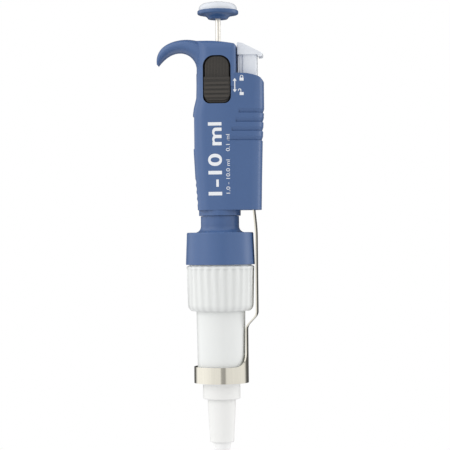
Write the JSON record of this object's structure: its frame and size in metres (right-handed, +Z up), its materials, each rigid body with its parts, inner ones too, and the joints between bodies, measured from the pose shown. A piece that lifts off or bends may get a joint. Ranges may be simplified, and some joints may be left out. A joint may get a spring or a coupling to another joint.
{
  "type": "adjustable micropipette",
  "caption": "Handheld single-channel piston pipette with a thumb button, finger hook, sliding volume lock, tip ejector arm, side counter and a wide barrel that ends in a tip cone.",
  "frame": {"origin": "on the piston axis, at the lower end of the tip cone", "axes": "+Z up the piston axis to the push button, -X towards the finger hook and the counter's window, +X towards the tip ejector, +Y to the back"},
  "size_m": [0.0621, 0.04, 0.2596],
  "materials": {
    "blue_shell": "satin blue plastic",
    "blue_button": "satin blue plastic",
    "white_body": "satin white plastic",
    "tip_white": "natural off-white plastic",
    "grey_button": "light grey plastic",
    "black_lock": "black-brown textured plastic",
    "steel": "polished stainless steel",
    "rod_steel": "ground stainless steel",
    "spring_steel": "spring steel",
    "clear": "clear plastic lens",
    "inner_plastic": "dark moulded plastic",
    "drum_white": "white printed drums",
    "seal": "black rubber",
    "filter": "porous white plastic"
  },
  "bodies": {
    "handle": {"handle_shell_front": "blue_shell", "handle_shell_back": "blue_shell", "top_bushing": "inner_plastic", "display_window": "clear", "counter_frame": "inner_plastic", "lock_plate": "black_lock", "nut_guide": "inner_plastic", "spring_seat": "spring_steel", "main_spring": "spring_steel", "blowout_spring": "spring_steel", "collar_adapter": "blue_shell", "rod_spring": "spring_steel", "ejector_spring": "spring_steel"},
    "barrel": {"barrel": "white_body", "barrel_gasket": "seal", "tip_cone": "tip_white", "cone_o_ring": "seal", "filter_plug": "filter"},
    "nut": {"coupling_nut": "white_body"},
    "foot": {"rod_foot": "inner_plastic"},
    "plunger": {"plunger_rod": "rod_steel", "push_button": "blue_button", "button_cap": "white_body", "rod_clip": "spring_steel"},
    "sleeve": {"drive_sleeve": "inner_plastic", "drum_tenths": "drum_white"},
    "units": {"drum_units": "drum_white"},
    "tens": {"drum_tens": "drum_white"},
    "stop": {"stop_nut": "inner_plastic"},
    "piston": {"piston_stem": "inner_plastic", "piston_head": "inner_plastic", "piston_seal": "seal"},
    "blowout": {"blowout_disc": "spring_steel"},
    "lock": {"lock_slider": "black_lock", "lock_pawl": "inner_plastic"},
    "ejector": {"ejector_button": "grey_button", "ejector_rod": "grey_button", "ejector_arm": "steel", "push_ring": "tip_white", "arm_screw": "rod_steel"}
  },
  "joints": [
    {"name": "plunger_press", "type": "slide", "parent": "handle", "child": "foot", "axis": [0, 0, -1], "range_m": [0, 0.014], "stiffness_N_per_m": 450, "springref_m": -0.0045, "deforming": ["rod_spring", "main_spring", "blowout_spring"]},
    {"name": "volume_turn", "type": "hinge", "parent": "foot", "child": "plunger", "pos_m": [0, 0, 0.2], "axis": [0, 0, 1], "range_deg": [-3240.01, 0]},
    {"name": "sleeve_turn", "type": "hinge", "parent": "handle", "child": "sleeve", "pos_m": [0, 0, 0.17], "axis": [0, 0, 1], "range_deg": [-3240.01, 0]},
    {"name": "units_turn", "type": "hinge", "parent": "handle", "child": "units", "pos_m": [0, 0, 0.178], "axis": [0, 0, 1], "range_deg": [-324, 0]},
    {"name": "tens_turn", "type": "hinge", "parent": "handle", "child": "tens", "pos_m": [0, 0, 0.184], "axis": [0, 0, 1], "range_deg": [-36, 0]},
    {"name": "stop_travel", "type": "slide", "parent": "handle", "child": "stop", "axis": [0, 0, 1], "range_m": [-0.01125, 0]},
    {"name": "piston_stroke", "type": "slide", "parent": "stop", "child": "piston", "axis": [0, 0, -1], "range_m": [0, 0.014]},
    {"name": "blowout_stroke", "type": "slide", "parent": "handle", "child": "blowout", "axis": [0, 0, -1], "range_m": [0, 0.0015]},
    {"name": "lock_slide", "type": "slide", "parent": "handle", "child": "lock", "axis": [0, 0, 1], "range_m": [0, 0.008]},
    {"name": "eject_press", "type": "slide", "parent": "handle", "child": "ejector", "axis": [0, 0, -1], "range_m": [0, 0.009], "stiffness_N_per_m": 300, "springref_m": -0.004, "deforming": ["ejector_spring"]},
    {"name": "barrel_drop", "type": "slide", "parent": "handle", "child": "barrel", "axis": [0, 0, 1], "range_m": [-0.0025, 0]},
    {"name": "nut_turn", "type": "hinge", "parent": "barrel", "child": "nut", "pos_m": [0, 0, 0.09], "axis": [0, 0, 1], "range_deg": [-360, 0]}
  ],
  "couplings": [
    {"joint": "volume_turn", "follows": "stop_travel", "rad_per_m": 5026.5},
    {"joint": "sleeve_turn", "follows": "stop_travel", "rad_per_m": 5026.5},
    {"joint": "units_turn", "follows": "stop_travel", "rad_per_m": 502.65},
    {"joint": "tens_turn", "follows": "stop_travel", "rad_per_m": 50.265},
    {"joint": "piston_stroke", "follows": "plunger_press", "ratio": 1},
    {"joint": "blowout_stroke", "follows": "plunger_press", "ratio": 0.10714},
    {"joint": "nut_turn", "follows": "barrel_drop", "rad_per_m": 2513.3}
  ]
}
